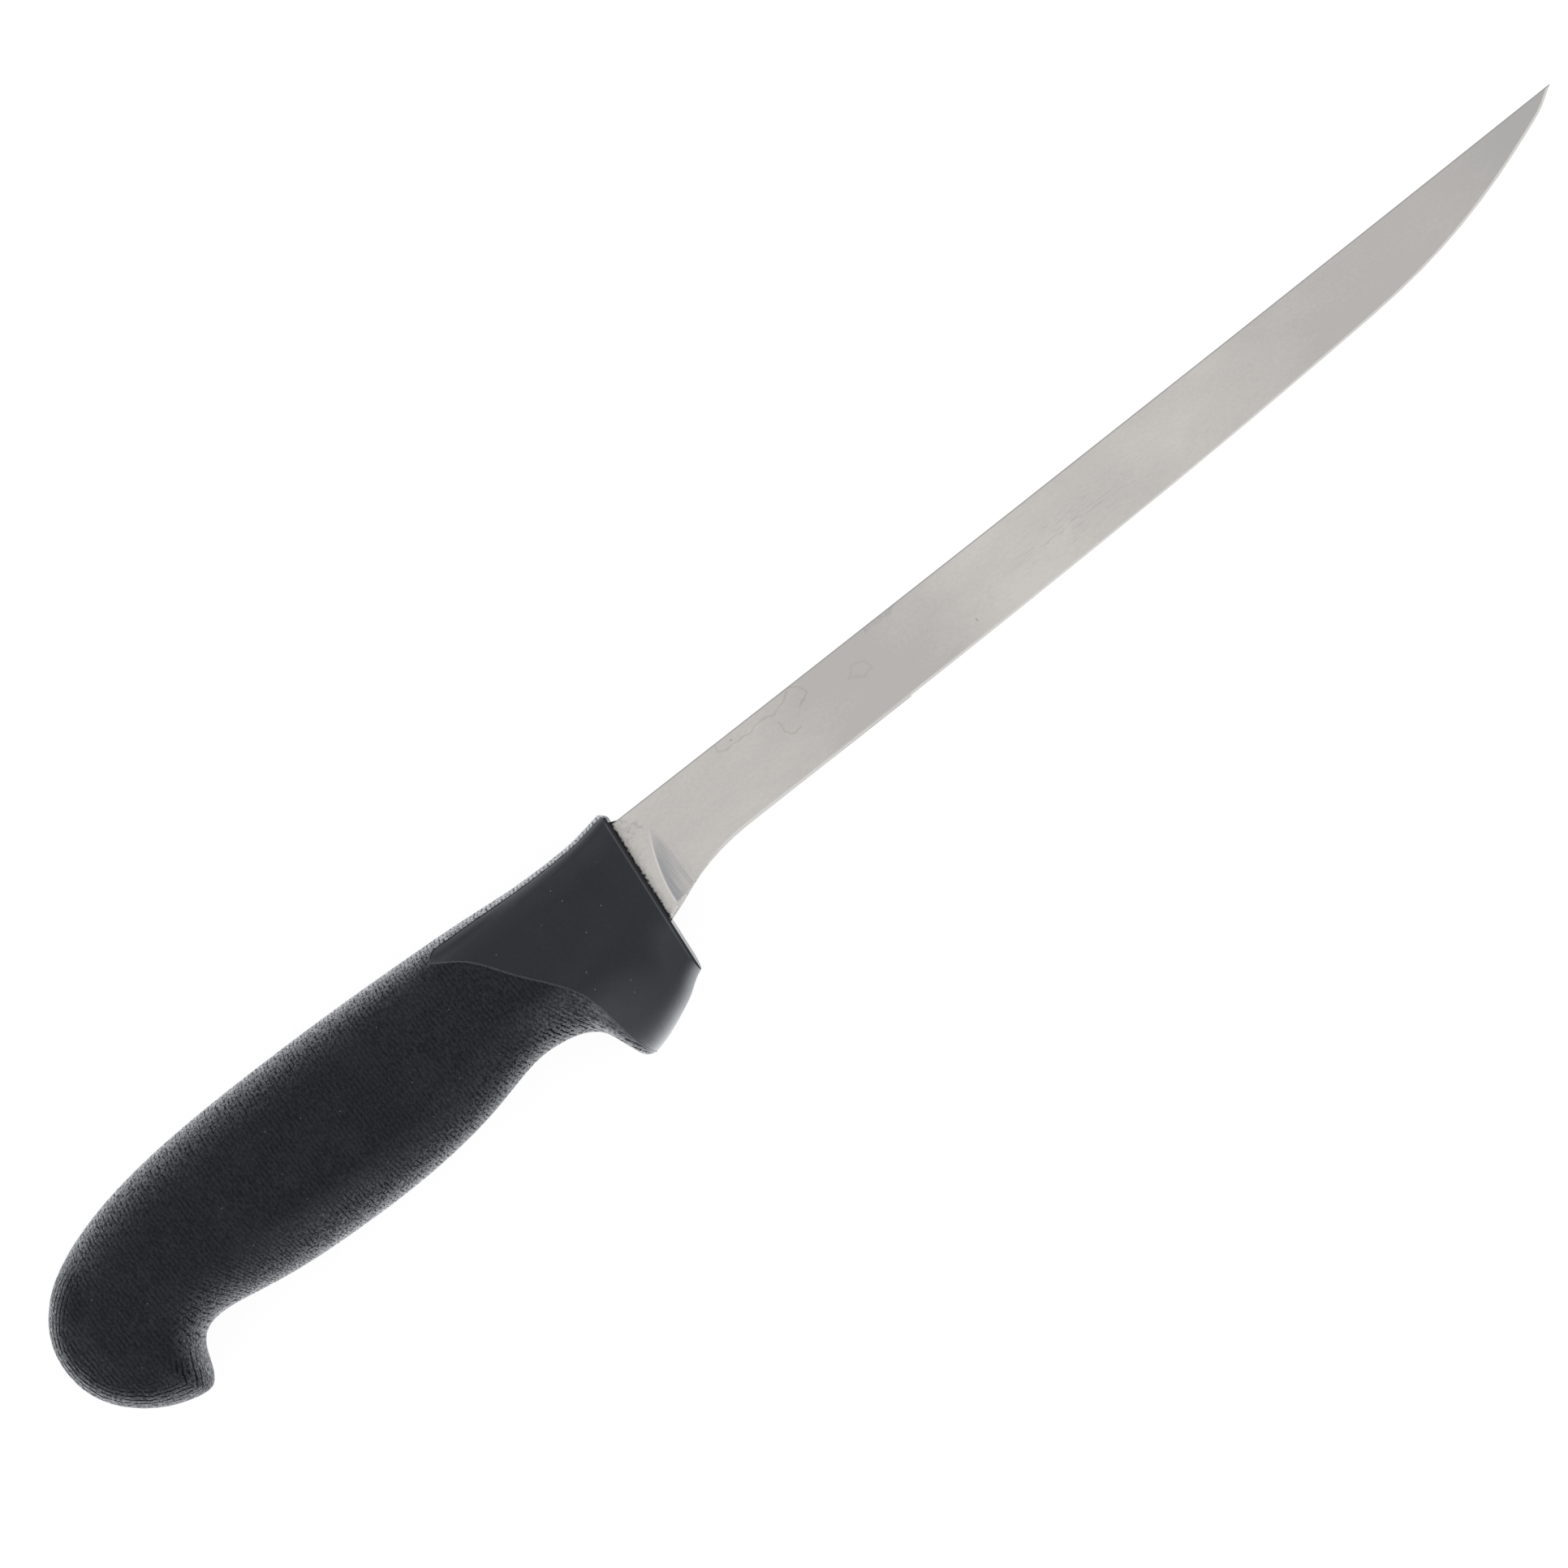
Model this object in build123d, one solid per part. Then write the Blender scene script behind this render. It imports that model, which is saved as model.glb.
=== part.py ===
"""Fillet knife with a narrow flexible blade and a moulded handle.

The knife lies on its side. +X runs from the butt to the tip, +Y from the edge to the spine, and +Z is
up, away from what the knife lies on. It is built on axes at the root of the blade, where the spine
meets the handle, and is then moved so that its origin is the middle of its box, at the bottom.
All lengths are millimetres. The handle lies at negative X and the blade at positive X.

Pieces:
  blade  one steel blank: flat ground blade, plain heel and a hidden tang with three holes
  core   hard moulded body on the tang: smooth cheeks, front face and guard, and a stem in the grip
  grip   soft textured skin moulded over the stem, the top of the core and the back of the guard
"""

import os
from math import cos, radians, sin, tan

from build123d import *

# Blade
blade_length = 203.5
blade_height = 14.5
stock_thickness = 1.5
spine_hollow = 0.3
tip_rise = 0.2

# Ground sides of the blade. The main grind is one flat face on each side. It starts below the spine at
# full stock, thins to the edge and a little towards the tip, and runs out at the heel in a wheel's curve.
# The tip grind rounds the flat away along slanting lines, so that the tip ends as thin as the edge.
grind_start = 4.8
grind_drop = 3.0
thickness_at_edge = 0.4
thinning_to_tip = 0.44
grind_wheel_radius = 18.0
tip_grind_start = 132.7
tip_grind_angle = 56.3
tip_grind_radius = 1690.0
tip_grind_lift = 0.005
bevel_angle = 20.0
edge_land = 0.04

# Tang
tang_length = 94.0
tang_front_height = 15.0
tang_rear_height = 9.0
tang_top_drop = 2.2
tang_corner_radius = 3.0
tang_hole_diameter = 6.0
tang_hole_shares = (0.28, 0.54, 0.8)

# Handle
handle_length = 131.4
handle_height = 40.0
handle_width = 20.0
butt_roundness = 10.5
flat_relief = 0.03
front_edge_chamfer = 0.3
front_top_chamfer = 1.1

# Stem of the core, and what keeps the grip on it
stem_width = 14.4
stem_edge_radius = 3.0
groove_width = 13.0
groove_depth = 1.6
lock_hole_diameter = 6.5

# One overrun for everything that is cut or drawn past the piece
overrun = 30.0

# Every table of places on the handle holds shares: how far back from the blade root, of the handle
# length, and how far over the spine line, of the handle height. The blade's tables hold how far forward,
# of the blade length, and how far below the spine line, of the blade height.

# Cutting edge from the tip to the heel, and the curve of the heel from there into the handle.
edge_shares = (
    (1.0, -0.007),
    (0.983, 0.142),
    (0.963, 0.258),
    (0.924, 0.448),
    (0.8845, 0.603),
    (0.845, 0.720),
    (0.806, 0.796),
    (0.727, 0.865),
    (0.590, 0.932),
    (0.393, 0.976),
    (0.256, 0.989),
    (0.177, 0.996),
    (0.0885, 1.0),
)
heel_shares = (
    (0.049, 1.050),
    (0.025, 1.135),
    (0.007, 1.232),
    (-0.0125, 1.325),
)
# How much of the full bevel each heel point keeps, down to the blunt heel.
heel_bevel_shares = (1.0, 0.85, 0.6, 0.3)

# Front face of the handle, where the blade comes out.
front_shares = ((0.0062, 0.0), (0.0281, -0.7))

# Top and bottom outline of the handle, from past the front face to the butt.
top_shares = (
    (-0.025, 0.088),
    (0.0133, 0.068),
    (0.034, 0.057),
    (0.061, 0.0455),
    (0.099, 0.042),
    (0.152, 0.0465),
    (0.221, 0.067),
    (0.305, 0.0885),
    (0.411, 0.1075),
    (0.533, 0.120),
    (0.639, 0.121),
    (0.723, 0.111),
    (0.799, 0.085),
    (0.860, 0.044),
    (0.9135, -0.0165),
    (0.954, -0.096),
    (0.981, -0.194),
    (0.9955, -0.300),
    (1.0, -0.4125),
)
bottom_shares = (
    (-0.015, -0.680),
    (0.028, -0.721),
    (0.038, -0.735),
    (0.057, -0.776),
    (0.080, -0.814),
    (0.107, -0.851),
    (0.129, -0.8735),
    (0.144, -0.878),
    (0.1535, -0.865),
    (0.160, -0.826),
    (0.166, -0.7725),
    (0.172, -0.719),
    (0.1797, -0.6775),
    (0.192, -0.644),
    (0.2095, -0.6175),
    (0.232, -0.601),
    (0.259, -0.594),
    (0.297, -0.611),
    (0.343, -0.645),
    (0.396, -0.674),
    (0.457, -0.691),
    (0.526, -0.695),
    (0.594, -0.6875),
    (0.663, -0.671),
    (0.723, -0.6425),
    (0.769, -0.615),
    (0.799, -0.607),
    (0.8225, -0.6245),
    (0.837, -0.664),
    (0.8455, -0.7125),
    (0.8515, -0.765),
    (0.8575, -0.8075),
    (0.865, -0.831),
    (0.877, -0.8325),
    (0.898, -0.815),
    (0.929, -0.771),
    (0.9555, -0.7075),
    (0.9775, -0.630),
    (0.992, -0.540),
    (0.9988, -0.458),
)
# Which rows of the top and of the bottom outline's shares face each other across the handle, and how many
# cross-sections the handle has from there to the next pair.
facing_shares = (
    (0, 0, 2),
    (1, 1, 5),
    (4, 5, 3),
    (5, 7, 7),
    (6, 13, 4),
    (7, 17, 10),
    (11, 24, 3),
    (12, 26, 9),
    (14, 32, 6),
    (16, 36, 6),
    (18, 39, 1),
)
# Shape of the cross-sections along the handle: place, depth of the rounding at the top and at the bottom
# and width, as shares of the handle length and, three times, of the handle width.
rounding_shares = (
    (0.0, 0.12, 0.14, 1.0),
    (0.08, 0.12, 0.26, 1.0),
    (0.145, 0.14, 0.34, 1.0),
    (0.20, 0.19, 0.33, 0.985),
    (0.265, 0.26, 0.33, 0.958),
    (0.33, 0.34, 0.36, 0.958),
    (0.40, 0.41, 0.40, 0.972),
    (0.48, 0.47, 0.46, 0.992),
    (0.56, 0.52, 0.53, 1.0),
    (0.72, 0.55, 0.56, 1.0),
    (1.0, 0.55, 0.58, 1.0),
)
# How full a rounding is, and the most of a cross-section's height that it may take.
fullness_share = 0.59
most_rounding_share = 0.42

# Shut-off line between the smooth core and the textured grip: along the top, and down behind the guard.
shutoff_top_shares = (
    (-0.040, 0.082),
    (0.0099, 0.046),
    (0.031, 0.034),
    (0.061, 0.0215),
    (0.107, 0.019),
    (0.152, 0.0225),
    (0.221, 0.0365),
    (0.282, 0.045),
)
shutoff_rear_shares = (
    (0.2935, 0.003),
    (0.260, -0.073),
    (0.2225, -0.233),
    (0.192, -0.3625),
    (0.166, -0.4975),
    (0.157, -0.620),
    (0.151, -0.745),
    (0.144, -0.850),
    (0.135, -0.950),
)

# Side view of the stem, from its front at the top round the rear to its front at the bottom.
stem_shares = (
    (0.20, -0.020),
    (0.34, 0.030),
    (0.53, 0.055),
    (0.70, 0.0475),
    (0.82, -0.020),
    (0.905, -0.1625),
    (0.937, -0.350),
    (0.900, -0.530),
    (0.805, -0.525),
    (0.69, -0.580),
    (0.54, -0.615),
    (0.40, -0.600),
    (0.28, -0.530),
    (0.20, -0.475),
)
stem_front_share = 0.11
groove_shares = (0.046, 0.282)
lock_hole_shares = ((0.785, -0.19), (0.87, -0.30))


def on_handle(share, height_share):
    """Point on the side of the handle."""
    return Vector(-share * handle_length, height_share * handle_height)


def on_blade(share, drop_share):
    """Point on the side of the blade."""
    return Vector(share * blade_length, -drop_share * blade_height)


front_top, front_bottom = [on_handle(*share) for share in front_shares]
front_fall = (front_bottom - front_top).normalized()
front_ahead = Vector(-front_fall.Y, front_fall.X)


def edge_outline(rise):
    """Everything above the cutting edge, drawn in by the bevel at this height over the middle plane."""
    points = [on_blade(*share) for share in edge_shares + heel_shares]
    kept = [1.0] * len(edge_shares) + list(heel_bevel_shares)
    run = rise / tan(radians(bevel_angle))
    moved = []
    for index, point in enumerate(points):
        before = points[max(index - 1, 0)]
        after = points[min(index + 1, len(points) - 1)]
        along = (after - before).normalized()
        moved.append(point + Vector(along.Y, -along.X) * run * kept[index])
    turn = len(edge_shares)
    level = Vector(-1, 0)
    edge = Spline(*moved[:turn], tangents=[moved[1] - moved[0], level])
    heel = Spline(*moved[turn - 1 :], tangents=[level, moved[-1] - moved[-2]])
    past_tip = moved[0] + (moved[0] - moved[1]).normalized() * overrun
    in_handle = moved[-1] + (moved[-1] - moved[-2])
    rest = Polyline(
        moved[-1],
        in_handle,
        (in_handle.X, past_tip.Y),
        past_tip,
        moved[0],
    )
    return make_face([*edge.edges(), *heel.edges(), *rest.edges()])


def edge_fence():
    """Solid bounded at the edge by the two bevels and the thin land between them."""
    land = edge_land / 2
    high = stock_thickness
    steps = ((-high, high), (-land, 0), (land, 0), (high, high))
    return loft([Pos(0, 0, z) * edge_outline(rise) for z, rise in steps], ruled=True)


def grind_tools():
    """What the main grind and the tip grind take off the upper side of the blank."""
    half = stock_thickness / 2
    slope = (half - thickness_at_edge / 2) / (blade_height - grind_drop)
    fall = thinning_to_tip / 2 / (blade_length - grind_start)
    flat = Plane((grind_start, -grind_drop, half), x_dir=(1, 0, -fall), z_dir=(0, -1, -slope))
    run_out = (2 * grind_wheel_radius * stock_thickness - stock_thickness**2) ** 0.5
    far = blade_length + overrun
    main_grind = make_face(
        [
            TangentArc((0, 0), (-run_out, stock_thickness), tangent=(-1, 0)),
            Polyline((0, 0), (far, 0), (far, overrun), (-run_out, overrun), (-run_out, stock_thickness)),
        ]
    )
    reach = 2 * overrun
    sink = tip_grind_radius - (tip_grind_radius**2 - reach**2) ** 0.5 - tip_grind_lift
    tip_grind = make_face(
        [
            TangentArc((0, tip_grind_lift), (reach, -sink), tangent=(1, 0)),
            Polyline((reach, -sink), (reach, overrun), (0, overrun), (0, tip_grind_lift)),
        ]
    )
    turn = radians(tip_grind_angle)
    slanted = Plane(
        flat.from_local_coords((tip_grind_start - grind_start, 0, 0)),
        x_dir=flat.x_dir * cos(turn) - flat.z_dir * sin(turn),
        z_dir=flat.x_dir * sin(turn) + flat.z_dir * cos(turn),
    )
    return [
        extrude(flat * main_grind, amount=overrun, both=True),
        extrude(slanted * tip_grind, amount=reach, both=True),
    ]


def make_blade():
    """The ground blade and its tang in one piece of steel."""
    back = on_blade(*heel_shares[-1]) * 2 - on_blade(*heel_shares[-2])
    middle = Vector(blade_length / 2, tip_rise / 2 - spine_hollow)
    tip = Vector(blade_length, tip_rise)
    blank_outline = [
        Line((back.X, 0), (0, 0)),
        ThreePointArc((0, 0), middle, tip),
        Polyline(
            tip,
            tip + (tip - middle).normalized() * overrun,
            (tip.X + overrun, -blade_height - overrun),
            (back.X, -blade_height - overrun),
            (back.X, 0),
        ),
    ]
    blank = extrude(make_face(blank_outline), amount=stock_thickness / 2, both=True)
    for tool in grind_tools():
        blank -= tool
        blank -= mirror(tool, Plane.XY)
    blade = blank & edge_fence()
    rear_top = -tang_top_drop - (tang_front_height - tang_rear_height) / 2
    tang = make_face(
        Polyline(
            (back.X / 2, -tang_top_drop),
            (-tang_length, rear_top),
            (-tang_length, rear_top - tang_rear_height),
            (back.X / 2, -tang_top_drop - tang_front_height),
            close=True,
        )
    )
    tang = fillet(tang.vertices().sort_by(Axis.X)[:2], tang_corner_radius)
    for share in tang_hole_shares:
        middle_drop = tang_top_drop + tang_front_height / 2
        tang -= Pos(-share * tang_length, -middle_drop) * Circle(tang_hole_diameter / 2)
    return blade + extrude(tang, amount=stock_thickness / 2, both=True)


def rounding_at(share):
    """Top rounding, bottom rounding and width of the cross-section at this share of the handle."""
    share = min(max(share, rounding_shares[0][0]), rounding_shares[-1][0])
    for before, after in zip(rounding_shares, rounding_shares[1:]):
        if share <= after[0]:
            part = (share - before[0]) / (after[0] - before[0])
            return [(b + (a - b) * part) * handle_width for b, a in zip(before[1:], after[1:])]


def cross_section(top, bottom, upper, lower, width):
    """Closed section between two points of the outlines: two full roundings and two flat flanks."""
    height = (bottom - top).length
    down = (bottom - top) / height
    upper = down * min(upper, most_rounding_share * height)
    lower = down * min(lower, most_rounding_share * height)
    edges = []
    for side in (Vector(0, 0, width / 2), Vector(0, 0, -width / 2)):
        shoulder = top + upper + side
        belly = bottom - lower + side
        soft = side * fullness_share
        edges.append(Bezier(top, top + soft, shoulder - upper * fullness_share, shoulder))
        edges.append(Line(shoulder, belly))
        edges.append(Bezier(belly, belly + lower * fullness_share, bottom + soft, bottom))
    return make_face(edges)


def handle_body():
    """The whole outside of the handle, with flat sides and a flat front face."""
    top_points = [on_handle(*share) for share in top_shares]
    bottom_points = [on_handle(*share) for share in bottom_shares]
    top_line = Spline(*top_points)
    bottom_line = Spline(*bottom_points)
    butt = (top_points[-1] + bottom_points[-1]) / 2 - Vector(flat_relief, 0)
    places = []
    for here, there in zip(facing_shares, facing_shares[1:] + facing_shares[-1:]):
        top_from, top_to = [top_line.param_at_point(top_points[p[0]]) for p in (here, there)]
        bottom_from, bottom_to = [bottom_line.param_at_point(bottom_points[p[1]]) for p in (here, there)]
        for step in range(here[2]):
            part = step / here[2]
            places.append((top_from + (top_to - top_from) * part, bottom_from + (bottom_to - bottom_from) * part))
    sections = []
    for top_place, bottom_place in places:
        top = top_line.position_at(top_place)
        bottom = bottom_line.position_at(bottom_place)
        middle = (top + bottom) / 2
        upper, lower, width = rounding_at(-middle.X / handle_length)
        depth = min((middle - butt).length, butt_roundness)
        closing = (1 - (1 - depth / butt_roundness) ** 2) ** 0.5
        width = (width + 2 * flat_relief) * closing
        sections.append(cross_section(top, bottom, upper, lower, width))
    body = loft(sections)
    return body & Box(3 * handle_length, 3 * handle_length, handle_width) & front_trim()


def front_trim():
    """Block behind the front face, with chamfers along its two sides and its top."""
    top_corner = front_top + front_fall * (front_top.Y - top_shares[1][1] * handle_height)
    down = front_top + front_fall * handle_height * 2
    side_view = Polyline(
        down,
        top_corner + front_fall * front_top_chamfer,
        top_corner - front_ahead * front_top_chamfer,
        top_corner - front_ahead * front_top_chamfer - front_fall * handle_height,
        (-2 * handle_length, handle_height),
        (-2 * handle_length, down.Y),
        close=True,
    )
    block = extrude(make_face(side_view), amount=handle_width, both=True)
    half = handle_width / 2
    inner = half - front_edge_chamfer
    far = -2 * handle_length
    plan_view = Polyline(
        (0, -inner),
        (0, inner),
        (-front_edge_chamfer, half),
        (-front_edge_chamfer, handle_width),
        (far, handle_width),
        (far, -handle_width),
        (-front_edge_chamfer, -handle_width),
        (-front_edge_chamfer, -half),
        close=True,
    )
    start = Plane(origin=front_top, x_dir=front_ahead, z_dir=-front_fall)
    return block & extrude(start * make_face(plan_view), amount=2 * handle_height, both=True)


def shutoff_block():
    """Block through the handle inside the shut-off line, where the core reaches the outside."""
    top = [on_handle(*share) for share in shutoff_top_shares]
    rear = [on_handle(*share) for share in shutoff_rear_shares]
    corner = Spline(top[-1], rear[0], tangents=[top[-1] - top[-2], rear[1] - rear[0]])
    ahead = Polyline(rear[-1], (top[0].X, rear[-1].Y), top[0])
    outline = make_face([Spline(*top), corner, Spline(*rear), ahead])
    return extrude(outline, amount=handle_width, both=True)


def make_core(body, blade):
    """Hard body with cheeks, guard and stem, the seat of the tang, and what the grip holds on by."""
    points = [on_handle(*share) for share in stem_shares]
    front = -stem_front_share * handle_length
    ahead = Polyline(points[-1], (front, points[-1].Y), (front, points[0].Y), points[0])
    stem = extrude(make_face([Spline(*points), ahead]), amount=stem_width / 2, both=True)
    ends = stem.faces().sort_by(Axis.Z)
    stem = fillet([*ends[0].edges(), *ends[-1].edges()], stem_edge_radius)
    core = (body & shutoff_block()) + stem
    groove_front, groove_rear = [-share * handle_length for share in groove_shares]
    groove_floor = shutoff_top_shares[4][1] * handle_height - groove_depth
    groove = Box(
        groove_front - groove_rear,
        handle_height,
        groove_width,
        align=(Align.MIN, Align.MIN, Align.CENTER),
    )
    core -= Pos(groove_rear, groove_floor, 0) * groove
    for share, height_share in lock_hole_shares:
        place = on_handle(share, height_share)
        core -= Pos(place.X, place.Y, 0) * Cylinder(lock_hole_diameter / 2, 2 * handle_width)
    return core - blade


blade = make_blade()
body = handle_body()
core = make_core(body, blade)
grip = body - core - blade
pieces = {"blade": blade, "core": core, "grip": grip}

box = Compound(children=[Compound(piece.wrapped) for piece in pieces.values()]).bounding_box()
to_origin = Pos(-box.center().X, -box.center().Y, -box.min.Z)
os.makedirs("parts", exist_ok=True)
for name, piece in pieces.items():
    export_step(to_origin * piece, f"parts/{name}.step")
print("root of the blade at", to_origin.position, "box", box.size)
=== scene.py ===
"""Looks of the fillet knife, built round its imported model.

Sizes are millimetres on the knife's own axes, as in the part. Zero is where the spine leaves the handle, the
first axis runs to the tip, the second from the edge to the spine, and the third out of the right side.
"""

from math import radians

import bpy
import numpy as np
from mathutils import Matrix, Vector
from mathutils.bvhtree import BVHTree
from mathutils.kdtree import KDTree


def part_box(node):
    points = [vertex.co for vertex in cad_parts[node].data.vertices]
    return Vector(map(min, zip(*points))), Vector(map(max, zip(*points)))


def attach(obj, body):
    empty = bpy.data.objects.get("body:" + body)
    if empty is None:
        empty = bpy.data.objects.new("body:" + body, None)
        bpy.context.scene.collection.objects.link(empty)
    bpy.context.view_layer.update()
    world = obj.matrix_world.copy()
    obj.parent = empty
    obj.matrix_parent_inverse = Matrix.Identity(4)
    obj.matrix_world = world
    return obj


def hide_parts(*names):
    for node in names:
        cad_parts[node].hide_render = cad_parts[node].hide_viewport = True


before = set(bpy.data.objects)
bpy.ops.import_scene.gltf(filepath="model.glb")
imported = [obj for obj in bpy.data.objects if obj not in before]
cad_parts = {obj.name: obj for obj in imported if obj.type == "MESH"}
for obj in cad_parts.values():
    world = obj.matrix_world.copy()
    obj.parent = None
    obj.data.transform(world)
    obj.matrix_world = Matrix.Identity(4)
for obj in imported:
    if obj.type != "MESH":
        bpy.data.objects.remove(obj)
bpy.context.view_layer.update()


# Blade and tang: one strip of thin stainless steel, ground flat on both sides to a narrow bevel at the
# edge. The wheel leaves a satin face and runs out in a curve in front of the handle. Use has left faint
# stains.
blade_length = 203.5
tip_rise = 0.2
spine_hollow = 0.3
blade_low, blade_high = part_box("blade")
root = Vector(
    (
        blade_high.x - blade_length / 1000,
        blade_high.y - tip_rise / 1000,
        (blade_low.z + blade_high.z) / 2,
    )
)


def add(tree, kind, inputs=(), **settings):
    """One node of a tree, its inputs linked or set by place or name. Gives its first output."""
    node = tree.nodes.new(kind)
    for name, value in settings.items():
        setattr(node, name, value)
    for place, value in inputs.items() if isinstance(inputs, dict) else enumerate(inputs):
        if isinstance(value, bpy.types.NodeSocket):
            tree.links.new(value, node.inputs[place])
        elif value is not None:
            node.inputs[place].default_value = value
    return node.outputs[0]


def calc(tree, operation, *values, clamp=False):
    """Result of one sum."""
    return add(tree, "ShaderNodeMath", values, operation=operation, use_clamp=clamp)


def ramp(tree, value, start, end, low=0.0, high=1.0):
    """Smooth change from low to high while the value goes from start to end."""
    inputs = {0: value, 1: start, 2: end, 3: low, 4: high}
    return add(tree, "ShaderNodeMapRange", inputs, interpolation_type="SMOOTHSTEP")


def blend_colours(tree, share, first, second):
    """Colour between two, by a share."""
    node = tree.nodes.new("ShaderNodeMix")
    node.data_type = "RGBA"
    for socket, value in zip((node.inputs[0], node.inputs[6], node.inputs[7]), (share, first, second)):
        if isinstance(value, bpy.types.NodeSocket):
            tree.links.new(value, socket)
        else:
            socket.default_value = value
    return node.outputs[2]


def new_material(name):
    """Empty material with its shader, and the tree that they are in."""
    material = bpy.data.materials.new(name)
    material.use_nodes = True
    return material, material.node_tree, material.node_tree.nodes["Principled BSDF"]


def knife_axes(tree):
    """Place on the knife's own axes, in millimetres, whole and in its three parts."""
    texture = tree.nodes.new("ShaderNodeTexCoord")
    moved = add(tree, "ShaderNodeVectorMath", (texture.outputs["Object"], root), operation="SUBTRACT")
    inputs = {"Vector": moved, "Scale": 1000.0}
    place = add(tree, "ShaderNodeVectorMath", inputs, operation="SCALE")
    parts = tree.nodes.new("ShaderNodeSeparateXYZ")
    tree.links.new(place, parts.inputs[0])
    return place, *parts.outputs


def noise(tree, place, size, detail=2.0, stretch=(1.0, 1.0, 1.0)):
    """Noise, 0.5 on average, in blots of about this size, drawn out by the stretch on each axis."""
    scale = [1 / (size * part) for part in stretch]
    scaled = add(tree, "ShaderNodeVectorMath", (place, scale), operation="MULTIPLY")
    return add(tree, "ShaderNodeTexNoise", {"Vector": scaled, "Scale": 1.0, "Detail": detail})


def bell(tree, value, middle, reach):
    """One at the middle, falling to nothing at this reach on both sides of it."""
    off = calc(tree, "ABSOLUTE", calc(tree, "SUBTRACT", value, middle))
    return ramp(tree, off, 0.0, reach, 1.0, 0.0)


def near_line(tree, spot, points):
    """Distance from a line of straight pieces through these places on the side of the knife."""
    nearest = None
    for start, end in zip(points, points[1:]):
        run = Vector((*end, 0)) - Vector((*start, 0))
        offset = add(tree, "ShaderNodeVectorMath", (spot, (*start, 0)), operation="SUBTRACT")
        inputs = (offset, run / run.length_squared)
        share = add(tree, "ShaderNodeVectorMath", inputs, operation="DOT_PRODUCT").node.outputs["Value"]
        share = calc(tree, "ADD", share, 0.0, clamp=True)
        closest = add(tree, "ShaderNodeVectorMath", {"Vector": run, "Scale": share}, operation="SCALE")
        apart = add(tree, "ShaderNodeVectorMath", (offset, closest), operation="DISTANCE")
        away = apart.node.outputs["Value"]
        nearest = away if nearest is None else calc(tree, "MINIMUM", nearest, away)
    return nearest


def product(tree, *values):
    """All these values multiplied."""
    result = values[0]
    for value in values[1:]:
        result = calc(tree, "MULTIPLY", result, value)
    return result


steel, tree, shader = new_material("satin_steel")
place, along, rise, _ = knife_axes(tree)
steel_tone = (0.68, 0.656, 0.626, 1)
darker_steel_tone = (0.545, 0.526, 0.505, 1)
shade_and_mark_tone = (0.37, 0.375, 0.385, 1)
highlight_tone = (0.80, 0.785, 0.765, 1)
stain_tone = (0.30, 0.265, 0.22, 1)
joint_line_tone = (0.012, 0.012, 0.013, 1)
# The steel's tone changes at random, and broad bands along the blade are painted lighter and darker as
# reflection.
dullness_and_reflection = 0.42
for size, detail, stretch, strength in (
    (24.0, 1.0, (1.0, 0.6, 1.0), 0.9),
    (5.0, 3.0, (1.5, 0.7, 1.0), 0.5),
    (0.55, 3.0, (1.3, 0.9, 1.0), 0.7),
):
    off_average = calc(tree, "SUBTRACT", noise(tree, place, size, detail, stretch), 0.5)
    dullness_and_reflection = calc(tree, "ADD", product(tree, off_average, strength), dullness_and_reflection)
for middle, reach, strength in (
    (50.0, 22.0, 0.8),
    (154.0, 30.0, 0.55),
    (195.0, 45.0, 0.75),
    (80.0, 18.0, -0.35),
    (0.0, 6.0, -0.3),
):
    dullness_and_reflection = calc(tree, "ADD", product(tree, bell(tree, along, middle, reach), strength), dullness_and_reflection)
dullness_and_reflection = calc(tree, "ADD", dullness_and_reflection, 0.0, clamp=True)
face_tone = blend_colours(tree, dullness_and_reflection, steel_tone, darker_steel_tone)

# The curve in which the grinding wheel ran out. The hollow that it left beside the line is painted darker as
# shade, and a highlight is painted along the line.
plunge_foot, plunge_height = -17.0, 12.3
plunge_lean, plunge_bow = 1.14, 2.81
hollow_fade, hollow_end = 3.8, 5.0
lift = calc(tree, "DIVIDE", calc(tree, "SUBTRACT", rise, plunge_foot), plunge_height)
plunge = calc(tree, "ADD", product(tree, lift, plunge_lean), product(tree, lift, lift, plunge_bow))
past_plunge = calc(tree, "ADD", calc(tree, "SUBTRACT", along, plunge), 0.1)
hollow_top = ramp(tree, rise, -3.5, -8.0)
hollow_shade_share = ramp(tree, past_plunge, -0.05, 0.25)
hollow_shade_share = product(tree, hollow_shade_share, ramp(tree, along, hollow_fade, hollow_end, 1.0, 0.0))
hollow_shade_share = product(tree, hollow_shade_share, hollow_top, ramp(tree, rise, -5.0, -12.0, 0.5, 1.0))
wheel_marks = noise(tree, place, 0.3, 2.0, (0.6, 20.0, 1.0))
rear_edge_shade = product(tree, bell(tree, along, 4.0, 0.5), 0.12)
hollow_shade_depth = calc(tree, "ADD", ramp(tree, past_plunge, 0.0, 3.6, 1.0, 0.32), rear_edge_shade)
hollow_shade_depth = calc(tree, "ADD", hollow_shade_depth, calc(tree, "SUBTRACT", product(tree, wheel_marks, 0.9), 0.45))
face_tone = blend_colours(tree, product(tree, hollow_shade_share, hollow_shade_depth), face_tone, shade_and_mark_tone)
# Painted highlight just before the curve.
plunge_highlight = product(tree, bell(tree, past_plunge, -0.12, 0.28), hollow_top)
face_tone = blend_colours(tree, product(tree, plunge_highlight, 0.6), face_tone, highlight_tone)
marks_share = product(tree, bell(tree, along, 4.7, 1.4), ramp(tree, rise, -6.0, -12.0))
marks_share = product(tree, marks_share, ramp(tree, wheel_marks, 0.45, 0.65))
face_tone = blend_colours(tree, product(tree, marks_share, 0.45), face_tone, shade_and_mark_tone)
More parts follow.
